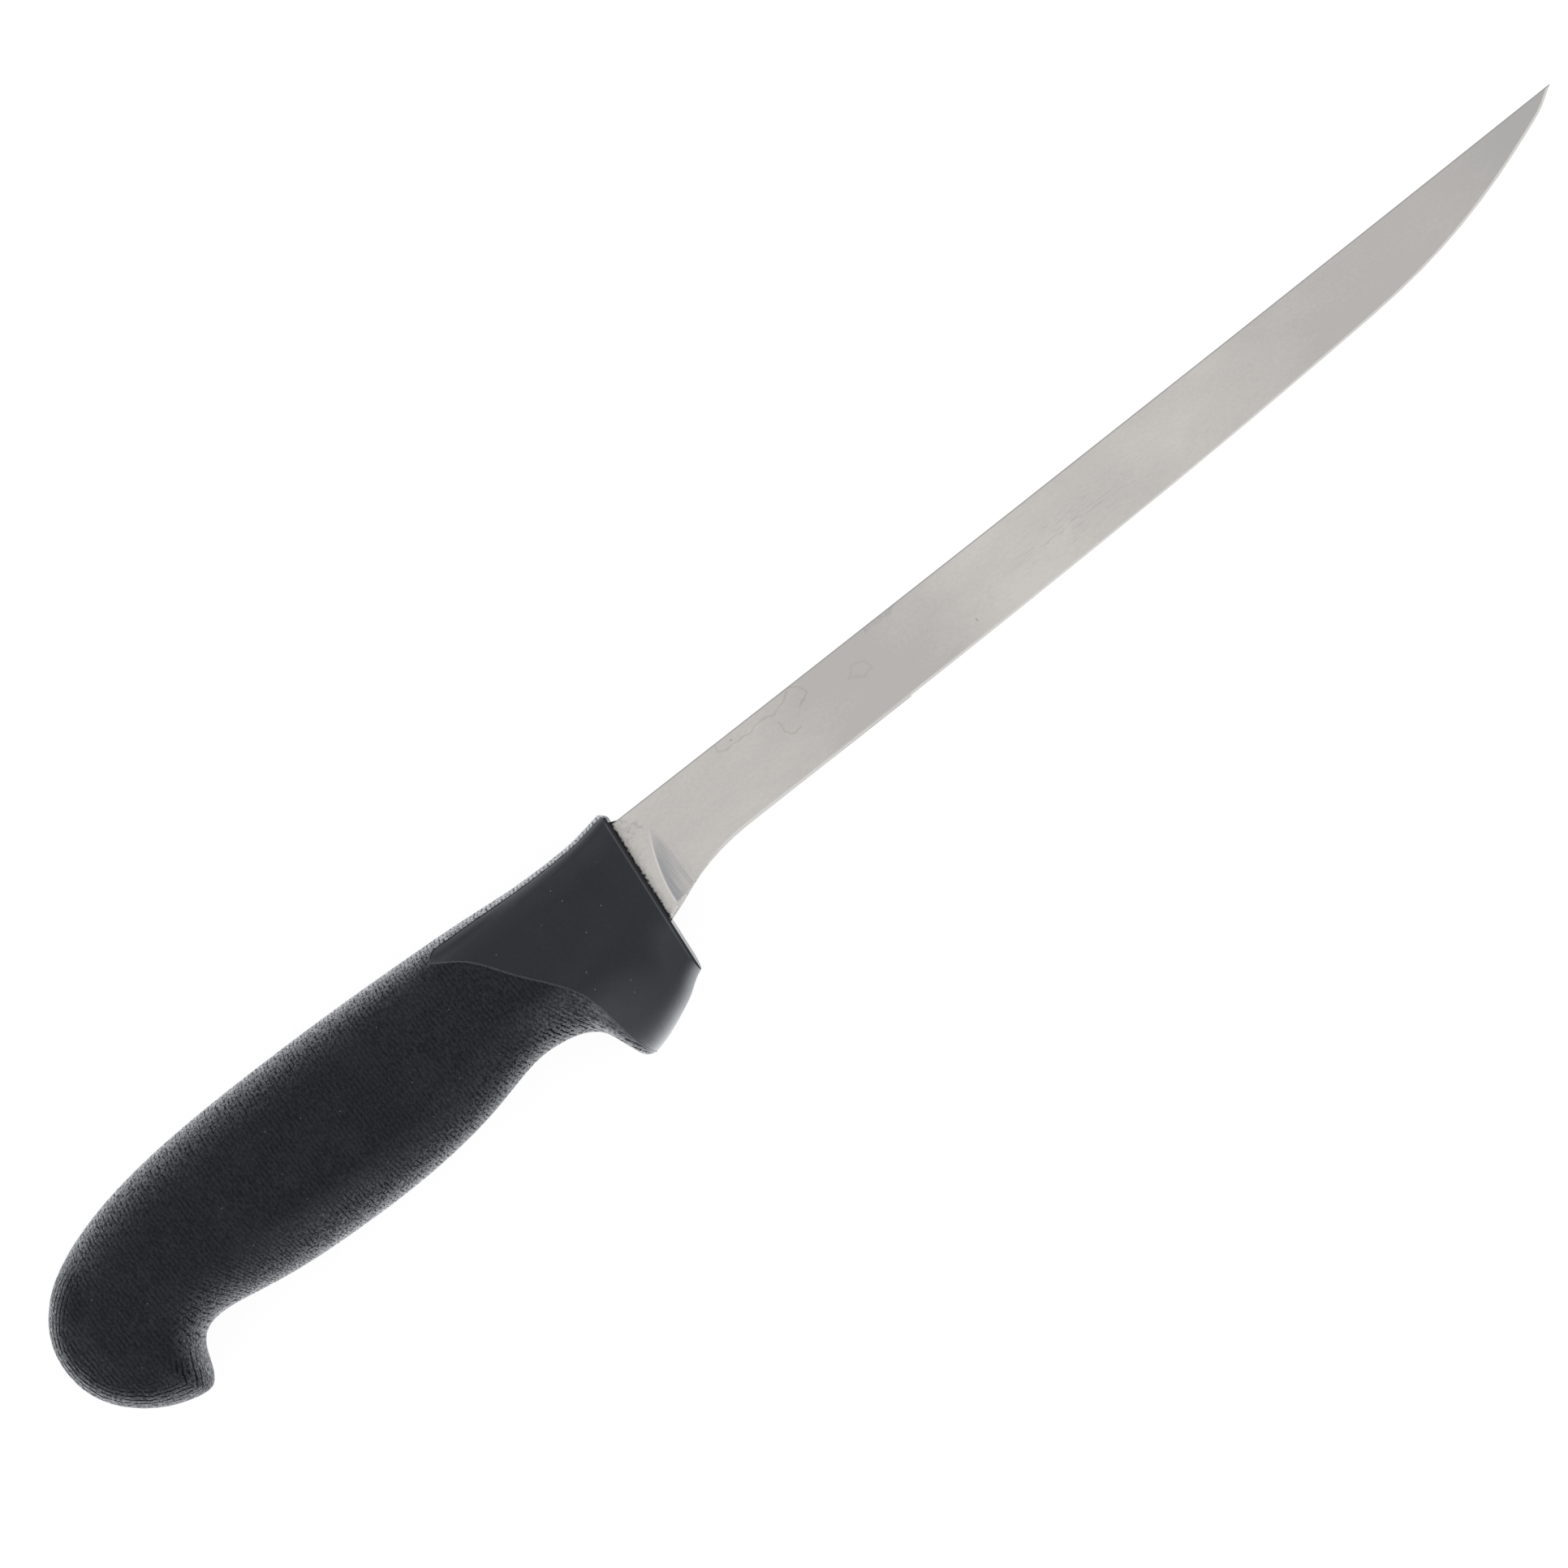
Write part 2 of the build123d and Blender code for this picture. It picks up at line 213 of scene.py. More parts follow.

# The bevel of the edge is painted lighter as a highlight, with stripes of painted reflection at the heel. A
# hairline along the spine is painted darker as shade.
heel_start, heel_end = 4.0, 14.0
bevel_highlight_strength = 0.85
normal = tree.nodes.new("ShaderNodeNewGeometry").outputs["True Normal"]
facing = tree.nodes.new("ShaderNodeSeparateXYZ")
tree.links.new(normal, facing.inputs[0])
upright = calc(tree, "ABSOLUTE", facing.outputs[2])
steep = ramp(tree, upright, 0.95, 0.97, 1.0, 0.0)
heel_reflection_tone = blend_colours(tree, ramp(tree, wheel_marks, 0.35, 0.65), darker_steel_tone, highlight_tone)
heel_reflection_share = product(tree, steep, ramp(tree, along, heel_start, heel_end, 1.0, 0.0))
face_tone = blend_colours(tree, heel_reflection_share, face_tone, heel_reflection_tone)
bevel_highlight = product(tree, steep, ramp(tree, along, heel_start, heel_end, 0.0, bevel_highlight_strength))
face_tone = blend_colours(tree, bevel_highlight, face_tone, highlight_tone)
run_share = calc(tree, "DIVIDE", along, blade_length)
sag = product(tree, run_share, calc(tree, "SUBTRACT", 1.0, run_share), 4 * spine_hollow)
spine = calc(tree, "SUBTRACT", product(tree, run_share, tip_rise), sag)
under_spine = calc(tree, "SUBTRACT", spine, rise)
spine_shade_share = product(tree, bell(tree, under_spine, 0.1, 0.22), 0.85)
face_tone = blend_colours(tree, spine_shade_share, face_tone, shade_and_mark_tone)

# Water marks, a few scratches and smears of use.
sway_along = product(tree, calc(tree, "SUBTRACT", noise(tree, place, 3.0, 1.0), 0.5), 1.6)
sway_rise = product(tree, calc(tree, "SUBTRACT", noise(tree, place, 2.6, 1.0, (1.0, 1.0, 3.0)), 0.5), 1.6)
swayed = (calc(tree, "ADD", along, sway_along), calc(tree, "ADD", rise, sway_rise), 0.0)
spot = add(tree, "ShaderNodeCombineXYZ", swayed)
water_marks = (
    ((21.3, 0.0), (21.2, -1.5), (23.0, -2.2), (25.0, -2.4), (29.0, -1.9), (33.0, -2.4), (36.8, -0.8)),
    ((36.0, 0.0), (39.0, -1.0), (39.3, -3.0), (37.0, -4.4)),
    ((32.3, -3.8), (32.3, -6.0), (34.0, -7.1), (35.0, -7.0)),
)
away = near_line(tree, spot, water_marks[0])
for line in water_marks[1:]:
    away = calc(tree, "MINIMUM", away, near_line(tree, spot, line))
face_tone = blend_colours(tree, ramp(tree, away, 0.04, 0.2, 0.26, 0.0), face_tone, stain_tone)
dried_drop = ((46.5, -5.5), (48.0, -4.0), (50.5, -4.4), (51.0, -6.2), (49.0, -7.2), (46.5, -5.5))
away = near_line(tree, spot, dried_drop)
face_tone = blend_colours(tree, ramp(tree, away, 0.1, 0.4, 0.1, 0.0), face_tone, stain_tone)
rust = near_line(tree, spot, ((24.0, -1.5), (24.15, -1.5)))
rust = calc(tree, "MINIMUM", rust, near_line(tree, spot, ((69.8, -10.9), (69.9, -11.3))))
face_tone = blend_colours(tree, ramp(tree, rust, 0.1, 0.3, 0.5, 0.0), face_tone, stain_tone)
smears = (
    ((0.3, -1.9), (1.0, -2.1), (1.7, -1.8), (2.1, -1.4), (1.2, -0.7), (0.7, -0.1)),
    ((-0.7, -3.9), (0.4, -4.0), (1.3, -3.8), (1.8, -3.0), (1.6, -2.3), (0.8, -2.4), (1.2, -2.9)),
    ((2.0, -1.9), (3.0, -2.3), (2.4, -2.9), (3.3, -3.4)),
    ((54.0, -0.5), (57.0, -0.6), (60.0, -0.5)),
)
away = near_line(tree, spot, smears[0])
for line in smears[1:]:
    away = calc(tree, "MINIMUM", away, near_line(tree, spot, line))
thinned = ramp(tree, noise(tree, place, 0.5, 2.0), 0.38, 0.62, 0.12, 1.0)
smeared = product(tree, ramp(tree, away, 0.0, 0.6, 0.5, 0.0), thinned)
face_tone = blend_colours(tree, smeared, face_tone, shade_and_mark_tone)
scratches = ramp(tree, noise(tree, place, 0.25, 1.0, (12.0, 0.7, 1.0)), 0.58, 0.7)
scratched = product(tree, scratches, bell(tree, along, 92.0, 26.0), bell(tree, rise, -8.0, 6.0))
face_tone = blend_colours(tree, product(tree, scratched, 0.5), face_tone, shade_and_mark_tone)
# Painted shade: the faces, but not the bevel, grow darker towards the tip.
tip_shade = product(tree, ramp(tree, along, 172.0, 194.0, 0.0, 0.3), calc(tree, "SUBTRACT", 1.0, steep))
face_tone = blend_colours(tree, tip_shade, face_tone, shade_and_mark_tone)

# A ragged dark line on the steel where it goes into the handle.
front_slope, front_start = 0.103, -0.81
into_front = calc(tree, "SUBTRACT", along, product(tree, rise, front_slope))
into_front = calc(tree, "SUBTRACT", into_front, front_start)
ragged = calc(tree, "ADD", into_front, calc(tree, "SUBTRACT", noise(tree, place, 0.5, 2.0), 0.5))
face_tone = blend_colours(tree, ramp(tree, ragged, 0.05, 0.45, 0.95, 0.0), face_tone, joint_line_tone)
tree.links.new(face_tone, shader.inputs["Base Color"])
shader.inputs["Metallic"].default_value = 1.0
least_roughness, most_roughness, bevel_roughness = 0.2, 0.27, 0.2
grain = noise(tree, place, 0.6, 2.0)
roughness = ramp(tree, grain, 0.3, 0.7, least_roughness, most_roughness)
roughness = calc(tree, "ADD", roughness, product(tree, steep, bevel_roughness))
tree.links.new(roughness, shader.inputs["Roughness"])
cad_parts["blade"].data.materials[0] = steel


# Core: hard black plastic moulded over the tang. It shows as the smooth cheeks beside the blade, the flat
# front face and the front of the guard. Its surface is plain and a little glossier than the grip's.
def dust(tree, place, spacing, size):
    """A few tiny dots of lint on the side view, about one in three cells of this spacing."""
    scaled = add(tree, "ShaderNodeVectorMath", {"Vector": place, "Scale": 1 / spacing}, operation="SCALE")
    inputs = {"Vector": scaled, "Scale": 1.0}
    cells = add(tree, "ShaderNodeTexVoronoi", inputs, voronoi_dimensions="2D").node
    parts = tree.nodes.new("ShaderNodeSeparateXYZ")
    tree.links.new(cells.outputs["Color"], parts.inputs[0])
    near = ramp(tree, cells.outputs["Distance"], 0.5 * size / spacing, size / spacing, 1.0, 0.0)
    return product(tree, near, ramp(tree, parts.outputs[0], 0.6, 0.7))


handle_length = 131.4
handle_height = 40.0
front_shares = ((0.0062, 0.0), (0.0281, -0.7))
shutoff_top_shares = (
    (-0.040, 0.082),
    (0.0099, 0.046),
    (0.031, 0.034),
    (0.061, 0.0215),
    (0.107, 0.019),
    (0.152, 0.0225),
    (0.221, 0.0365),
    (0.282, 0.045),
)


def on_handle(shares):
    """Places on the side of the handle."""
    return np.array([(-share * handle_length, part * handle_height) for share, part in shares])


plastic, tree, shader = new_material("hard_plastic")
place, along, rise, out = knife_axes(tree)
plastic_tone = (0.0020, 0.0024, 0.0034, 1)
lit_cloudy_tone = (0.0208, 0.0215, 0.0240, 1)
lint_tone = (0.12, 0.124, 0.132, 1)
front_shade_tone = (0.035, 0.037, 0.042, 1)
flat_spot = add(tree, "ShaderNodeCombineXYZ", (along, rise, 0.0))
below_seam = near_line(tree, flat_spot, on_handle(shutoff_top_shares).tolist())
clouds = noise(tree, place, 7.0, 3.0)
# Painted light: the cheeks are lighter towards the bottom of the guard, at its lower front corner, near the
# front and just under the top seam. The clouds of lighter tone are random.
lit_and_cloudy_share = ramp(tree, rise, -18.0, -27.0, 0.0, 0.88)
lit_and_cloudy_share = calc(tree, "ADD", lit_and_cloudy_share, ramp(tree, clouds, 0.4, 0.75, 0.0, 0.16))
corner_light = product(tree, ramp(tree, along, -10.0, -4.0), ramp(tree, rise, -16.0, -23.0))
lit_and_cloudy_share = calc(tree, "ADD", lit_and_cloudy_share, product(tree, corner_light, 1.1))
lit_and_cloudy_share = calc(tree, "ADD", lit_and_cloudy_share, ramp(tree, along, -9.0, -2.0, 0.0, 0.14))
lit_and_cloudy_share = calc(tree, "ADD", lit_and_cloudy_share, ramp(tree, below_seam, 6.0, 0.5, 0.0, 0.42))
lit_and_mottled = blend_colours(tree, lit_and_cloudy_share, plastic_tone, lit_cloudy_tone)
lint_spacing, lint_size = 4.6, 0.13
lit_and_mottled = blend_colours(tree, dust(tree, place, lint_spacing, lint_size), lit_and_mottled, lint_tone)
normal = tree.nodes.new("ShaderNodeNewGeometry").outputs["True Normal"]
facing = tree.nodes.new("ShaderNodeSeparateXYZ")
tree.links.new(normal, facing.inputs[0])
# Painted shade: the right-hand half of the front face has its sheen and gloss taken away and a flat dark
# grey put in their place.
front_shade_share = product(tree, ramp(tree, facing.outputs[0], 0.8, 0.9), ramp(tree, out, -0.5, 1.0))
tree.links.new(blend_colours(tree, front_shade_share, lit_and_mottled, front_shade_tone), shader.inputs["Base Color"])
pores = noise(tree, place, 0.35, 2.0)
off_seam = calc(tree, "SUBTRACT", below_seam, ramp(tree, along, -20.0, -32.0, 0.0, 0.7))
soft_gloss = ramp(tree, off_seam, 0.4, 1.8, 0.1, 1.0)
soft_gloss = product(tree, soft_gloss, calc(tree, "SUBTRACT", 1.0, front_shade_share))
low_guard = product(tree, ramp(tree, rise, -18.0, -24.0), ramp(tree, along, -22.0, -5.0, 0.55, -0.45))
soft_gloss = product(tree, soft_gloss, calc(tree, "ADD", low_guard, 1.0))
soft_gloss = product(tree, soft_gloss, ramp(tree, pores, 0.3, 0.7, 0.9, 1.1))
tree.links.new(soft_gloss, shader.inputs["Sheen Weight"])
tree.links.new(ramp(tree, front_shade_share, 0.0, 1.0, 0.26, 0.0), shader.inputs["Specular IOR Level"])
tree.links.new(ramp(tree, clouds, 0.3, 0.7, 0.34, 0.42), shader.inputs["Roughness"])
cool_gloss = (0.70, 0.80, 1.0, 1)
cool_sheen = (0.94, 0.955, 1.0, 1)
shader.inputs["Specular Tint"].default_value = cool_gloss
shader.inputs["Sheen Roughness"].default_value = 0.48
shader.inputs["Sheen Tint"].default_value = cool_sheen
bump = {"Height": pores, "Strength": 0.12, "Distance": 0.00002}
tree.links.new(add(tree, "ShaderNodeBump", bump), shader.inputs["Normal"])
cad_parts["core"].data.materials[0] = plastic


# Grip: soft black skin moulded over the stem of the core, in a tool cut with a knitted pattern. Its rows
# run round the handle, fan out behind the guard and follow the outline of the butt and the hook.
handle_width = 20.0
butt_roundness = 10.5
flat_relief = 0.03
top_shares = (
    (-0.025, 0.088),
    (0.0133, 0.068),
    (0.034, 0.057),
    (0.061, 0.0455),
    (0.099, 0.042),
    (0.152, 0.0465),
    (0.221, 0.067),
    (0.305, 0.0885),
    (0.411, 0.1075),
    (0.533, 0.120),
    (0.639, 0.121),
    (0.723, 0.111),
    (0.799, 0.085),
    (0.860, 0.044),
    (0.9135, -0.0165),
    (0.954, -0.096),
    (0.981, -0.194),
    (0.9955, -0.300),
    (1.0, -0.4125),
)
bottom_shares = (
    (-0.015, -0.680),
    (0.028, -0.721),
    (0.038, -0.735),
    (0.057, -0.776),
    (0.080, -0.814),
    (0.107, -0.851),
    (0.129, -0.8735),
    (0.144, -0.878),
    (0.1535, -0.865),
    (0.160, -0.826),
    (0.166, -0.7725),
    (0.172, -0.719),
    (0.1797, -0.6775),
    (0.192, -0.644),
    (0.2095, -0.6175),
    (0.232, -0.601),
    (0.259, -0.594),
    (0.297, -0.611),
    (0.343, -0.645),
    (0.396, -0.674),
    (0.457, -0.691),
    (0.526, -0.695),
    (0.594, -0.6875),
    (0.663, -0.671),
    (0.723, -0.6425),
    (0.769, -0.615),
    (0.799, -0.607),
    (0.8225, -0.6245),
    (0.837, -0.664),
    (0.8455, -0.7125),
    (0.8515, -0.765),
    (0.8575, -0.8075),
    (0.865, -0.831),
    (0.877, -0.8325),
    (0.898, -0.815),
    (0.929, -0.771),
    (0.9555, -0.7075),
    (0.9775, -0.630),
    (0.992, -0.540),
    (0.9988, -0.458),
)
# Points of the two outlines that face each other across the handle, and the sections up to the next pair.
facing_shares = (
    (0, 0, 2),
    (1, 1, 5),
    (4, 5, 3),
    (5, 7, 7),
    (6, 13, 4),
    (7, 17, 10),
    (11, 24, 3),
    (12, 26, 9),
    (14, 32, 6),
    (16, 36, 6),
    (18, 39, 1),
)
# Place along the handle, depth of the rounding at the top and at the bottom, and width.
rounding_shares = np.array(
    (
        (0.0, 0.12, 0.14, 1.0),
        (0.08, 0.12, 0.26, 1.0),
        (0.145, 0.14, 0.34, 1.0),
        (0.20, 0.19, 0.33, 0.985),
        (0.265, 0.26, 0.33, 0.958),
        (0.33, 0.34, 0.36, 0.958),
        (0.40, 0.41, 0.40, 0.972),
        (0.48, 0.47, 0.46, 0.992),
        (0.56, 0.52, 0.53, 1.0),
        (0.72, 0.55, 0.56, 1.0),
        (1.0, 0.55, 0.58, 1.0),
    )
)
fullness_share = 0.59
bend_steps = 40
most_rounding_share = 0.42
shutoff_rear_shares = (
    (0.2935, 0.003),
    (0.260, -0.073),
    (0.2225, -0.233),
    (0.192, -0.3625),
    (0.166, -0.4975),
    (0.157, -0.620),
    (0.151, -0.745),
    (0.144, -0.850),
    (0.135, -0.950),
)
rings_per_section = 12
points_round_side = 52
skin_depth = 0.8
row_pitch = 0.80
stitch_length = 1.15
groove_depth = 0.05
pattern_seed = 3.0
flat_strength = 0.52


def smooth_line(points, ends=None):
    """Smooth line through points, and how far along it each of them is."""
    run = np.concatenate([[0], np.cumsum(np.linalg.norm(np.diff(points, axis=0), axis=1))])
    gap = np.diff(run)
    steps = np.diff(points, axis=0) / gap[:, None]
    count = len(points)
    system = np.eye(count)
    slopes = np.array([steps[0], *[steps[0]] * (count - 2), steps[-1]])
    if ends is not None:
        slopes[0], slopes[-1] = ends
    for i in range(1, count - 1):
        system[i, i - 1 : i + 2] = gap[i], 2 * (gap[i - 1] + gap[i]), gap[i - 1]
        slopes[i] = 3 * (gap[i] * steps[i - 1] + gap[i - 1] * steps[i])
    slopes = np.linalg.solve(system, slopes)

    def line(where):
        where = np.atleast_1d(where)
        piece = np.clip(np.searchsorted(run, where, side="right") - 1, 0, count - 2)
        wide = gap[piece][:, None]
        part = ((where - run[piece])[:, None]) / wide
        turn = part * part * (3 - 2 * part)
        start = part * (1 - part) ** 2 * wide
        end = part * part * (part - 1) * wide
        first, last = points[piece], points[piece + 1]
        return first + (last - first) * turn + slopes[piece] * start + slopes[piece + 1] * end

    return line, run


top_line, top_run = smooth_line(on_handle(top_shares))
bottom_line, bottom_run = smooth_line(on_handle(bottom_shares))


def half_section(top, bottom, upper, lower, width):
    """Right half of a cross-section between two outline points, in even steps from top to bottom."""
    height = np.linalg.norm(bottom - top)
    upper = min(upper, most_rounding_share * height)
    lower = min(lower, most_rounding_share * height)
    part = np.linspace(0, 1, bend_steps)
    bend = np.array([(1 - part) ** 3, 3 * part * (1 - part) ** 2, 3 * part**2 * (1 - part), part**3])
    soft = fullness_share
    deep = np.concatenate(
        [upper * (bend[2] * (1 - soft) + bend[3]), height - lower * (bend[0] + bend[1] * (1 - soft))]
    )
    wide = np.concatenate([bend[1] * soft + bend[2] + bend[3], bend[0] + bend[1] + bend[2] * soft])
    wide = wide * width / 2
    run = np.concatenate([[0], np.cumsum(np.hypot(np.diff(deep), np.diff(wide)))])
    even = np.linspace(0, run[-1], points_round_side + 1)
    return np.interp(even, run, deep), np.interp(even, run, wide)


def handle_skin(inset, ring_share):
    """Closed surface of the whole handle, this far inside its outside: places and faces."""
    places = []
    for here, there in zip(facing_shares, facing_shares[1:]):
        steps = max(int(here[2] * ring_share), 1)
        part = np.arange(steps) / steps
        for share in part:
            top_place = top_run[here[0]] + (top_run[there[0]] - top_run[here[0]]) * share
            bottom_place = bottom_run[here[1]] + (bottom_run[there[1]] - bottom_run[here[1]]) * share
            places.append((top_place, bottom_place))
    places.append((top_run[-1], bottom_run[-1]))
    butt = (top_line(top_run[-1])[0] + bottom_line(bottom_run[-1])[0]) / 2 - (flat_relief, 0)
    rings = []
    for top_place, bottom_place in places:
        top = top_line(top_place)[0]
        bottom = bottom_line(bottom_place)[0]
        middle = (top + bottom) / 2
        depth = min(np.linalg.norm(middle - butt), butt_roundness)
        if depth < inset * 1.5:
            break
        down = (bottom - top) / np.linalg.norm(bottom - top)
        share = np.clip(-middle[0] / handle_length, 0, 1)
        upper, lower, width = [
            np.interp(share, rounding_shares[:, 0], column) * handle_width
            for column in rounding_shares[:, 1:].T
        ]
        closing = (1 - (1 - (depth - inset) / (butt_roundness - inset)) ** 2) ** 0.5
        width = (width + 2 * flat_relief - 2 * inset) * closing
        top, bottom = top + down * inset, bottom - down * inset
        deep, wide = half_section(top, bottom, upper, lower, width)
        flat = top + deep[:, None] * down
        wide = np.minimum(wide, handle_width / 2)
        right = np.column_stack([flat, wide])
        left = np.column_stack([flat, -wide])[-2:0:-1]
        rings.append(np.vstack([right, left]))
    count = len(rings[0])
    vertices = np.vstack(rings)
    faces = []
    for ring in range(len(rings) - 1):
        first = ring * count
        for spot in range(count):
            after = (spot + 1) % count
            faces.append((first + spot, first + count + spot, first + count + after, first + after))
    faces.append(tuple(range(count)))
    faces.append(tuple(range((len(rings) - 1) * count, len(rings) * count))[::-1])
    return vertices, faces


def to_metres(places):
    """Places on the knife's axes as places in the shared frame."""
    return (np.asarray(places) / 1000 + np.array(root)).tolist()


def new_piece(name, vertices, faces):
    """Mesh object from places on the knife's axes."""
    mesh = bpy.data.meshes.new(name)
    mesh.from_pydata(to_metres(vertices), [], faces)
    mesh.validate()
    piece = bpy.data.objects.new(name, mesh)
    bpy.context.scene.collection.objects.link(piece)
    return piece


def prism(name, outline, width):
    """Block of this width with this side view, whose points go round it against the clock."""
    count = len(outline)
    near = np.column_stack([outline, np.full(count, width / 2)])
    sides = [(i, count + i, count + (i + 1) % count, (i + 1) % count) for i in range(count)]
    faces = sides + [tuple(range(count)), tuple(range(count, 2 * count))[::-1]]
    return new_piece(name, np.vstack([near, near * (1, 1, -1)]), faces)


shutoff_top = on_handle(shutoff_top_shares)
shutoff_rear = on_handle(shutoff_rear_shares)
line_steps = 60
top_edge, run = smooth_line(shutoff_top)
top_edge = top_edge(np.linspace(0, run[-1], line_steps))
rear_edge, run = smooth_line(shutoff_rear)
rear_edge = rear_edge(np.linspace(0, run[-1], line_steps))
corner = np.array([shutoff_top[-1], shutoff_rear[0]])
corner_ends = [top_edge[-1] - top_edge[-2], rear_edge[1] - rear_edge[0]]
corner_ends = [end / np.linalg.norm(end) for end in corner_ends]
corner_edge, run = smooth_line(corner, corner_ends)
corner_steps = 12
corner_edge = corner_edge(np.linspace(0, run[-1], corner_steps))
ahead = np.array([(top_edge[0][0], rear_edge[-1][1])])
core_side = np.vstack([top_edge, corner_edge[1:-1], rear_edge, ahead])

skin_vertices, skin_faces = handle_skin(0.0, rings_per_section)
skin_body = new_piece("grip_skin", skin_vertices, skin_faces)
hollow_vertices, hollow_faces = handle_skin(skin_depth, 1)
hollow = new_piece("grip_hollow", hollow_vertices, hollow_faces)
core_block = prism("core_block", core_side, 2 * handle_width)
front_top_chamfer = 1.1
front_top, front_low = on_handle(front_shares)
fall = (front_low - front_top) / np.linalg.norm(front_low - front_top)
forward = np.array((-fall[1], fall[0]))
front_corner = front_top + fall * (front_top[1] - top_shares[1][1] * handle_height)
chamfer_end = front_corner - forward * front_top_chamfer
front_air = prism(
    "front_air",
    np.array(
        (
            front_top + fall * handle_height,
            front_top + fall * handle_height + forward * handle_height,
            front_corner - fall * handle_height + forward * handle_height,
            chamfer_end - fall * handle_height,
            chamfer_end,
            front_corner + fall * front_top_chamfer,
        )
    ),
    2 * handle_width,
)
for cutter in (core_block, front_air, hollow):
    cut = skin_body.modifiers.new(cutter.name, "BOOLEAN")
    cut.operation = "DIFFERENCE"
    cut.solver = "MANIFOLD"
    cut.object = cutter
graph = bpy.context.evaluated_depsgraph_get()
result = bpy.data.meshes.new_from_object(skin_body.evaluated_get(graph))


def knit_grooves(tree, rows, pitch, stitch, seed, gaps):
    """Depth share of the knitted pattern's grooves, from the place across the rows and along them."""
    parts = tree.nodes.new("ShaderNodeSeparateXYZ")
    tree.links.new(rows, parts.inputs[0])
    across, along = parts.outputs[0], parts.outputs[1]
    sway = noise(tree, rows, 2.4, 1.0)
    across = calc(tree, "ADD", across, product(tree, calc(tree, "SUBTRACT", sway, 0.5), 0.7))
    row = calc(tree, "DIVIDE", across, pitch)
    number = calc(tree, "FLOOR", row)
    off_middle = calc(tree, "ABSOLUTE", calc(tree, "SUBTRACT", calc(tree, "SUBTRACT", row, number), 0.5))
    groove = ramp(tree, off_middle, 0.04, 0.26, 1.0, 0.0)
    spot = add(
        tree,
        "ShaderNodeCombineXYZ",
        (calc(tree, "MULTIPLY", number, 5.37), calc(tree, "DIVIDE", along, stitch), seed),
    )
    dash = add(tree, "ShaderNodeTexNoise", {"Vector": spot, "Scale": 1.0, "Detail": 1.0})
    return product(tree, groove, ramp(tree, calc(tree, "SUBTRACT", dash, gaps), 0.34, 0.46))


def both_grooves(tree, read, pitch, stitch, seed):
    """Grooves of the rows round the handle, changing into those along the outline of the butt and hook."""
    roundness = read("roundness", "FLOAT")
    gaps = product(tree, roundness, 0.1)
    round_rows = knit_grooves(tree, read("rows", "FLOAT_VECTOR"), pitch, stitch, seed, gaps)
    round_rows = product(tree, round_rows, ramp(tree, roundness, 0.0, 0.5, flat_strength, 1.0))
    rim_rows = knit_grooves(tree, read("rim_rows", "FLOAT_VECTOR"), pitch, stitch, seed, 0.0)
    node = tree.nodes.new("ShaderNodeMix")
    for place, value in zip((0, 2, 3), (read("rim_share", "FLOAT"), round_rows, rim_rows)):
        tree.links.new(value, node.inputs[place])
    return node.outputs[0]


grip_rubber, tree, shader = new_material("soft_grip")
place, along, rise, _ = knife_axes(tree)


def read_in_material(name, kind):
    """Value of a mesh attribute in the grip's material."""
    node = tree.nodes.new("ShaderNodeAttribute")
    node.attribute_name = name
    return node.outputs["Vector" if kind == "FLOAT_VECTOR" else "Fac"]


grooves = both_grooves(tree, read_in_material, row_pitch, stitch_length, pattern_seed)
raised = calc(tree, "SUBTRACT", 1.0, grooves)
grain = noise(tree, place, 0.34, 3.0, (0.85, 1.7, 1.0))
cloth_tone = (0.0016, 0.0022, 0.0044, 1)
rub_tone = (0.0056, 0.0065, 0.0092, 1)
painted_light_tone = (0.098, 0.100, 0.108, 1)
rubbed = noise(tree, place, 8.0, 3.0)
tone = blend_colours(tree, ramp(tree, rubbed, 0.45, 0.75), cloth_tone, rub_tone)
shader.inputs["Roughness"].default_value = 0.5
shader.inputs["Specular Tint"].default_value = cool_gloss
shader.inputs["Sheen Roughness"].default_value = 0.5
shader.inputs["Sheen Tint"].default_value = cool_sheen
stitch_gloss = 0.07
tree.links.new(product(tree, raised, stitch_gloss), shader.inputs["Specular IOR Level"])
roundness = read_in_material("roundness", "FLOAT")

# The sheen is patchier on the rounded edges and behind the guard, and duller round the butt.
guard_back = product(tree, ramp(tree, rise, -14.0, -22.0), ramp(tree, along, -36.0, -29.0))
coarse = calc(tree, "MAXIMUM", roundness, product(tree, guard_back, 0.8))
least = ramp(tree, coarse, 0.0, 0.8, 0.5, 0.32)
most = ramp(tree, coarse, 0.0, 0.8, 1.02, 1.86)
patchy = ramp(tree, grain, 0.35, 0.65, least, most)
at_butt = read_in_material("rim_share", "FLOAT")
depth = read_in_material("outline_depth", "FLOAT")
worn_gloss = product(tree, patchy, ramp(tree, at_butt, 0.0, 1.0, 1.0, 0.78))
inner_band = bell(tree, depth, 4.8, 4.2)
inner_band = product(tree, inner_band, ramp(tree, along, -114.0, -122.0))
worn_gloss = product(tree, worn_gloss, ramp(tree, inner_band, 0.0, 1.0, 1.0, 0.5))
worn_gloss = product(tree, worn_gloss, ramp(tree, guard_back, 0.0, 1.0, 1.0, 0.85))

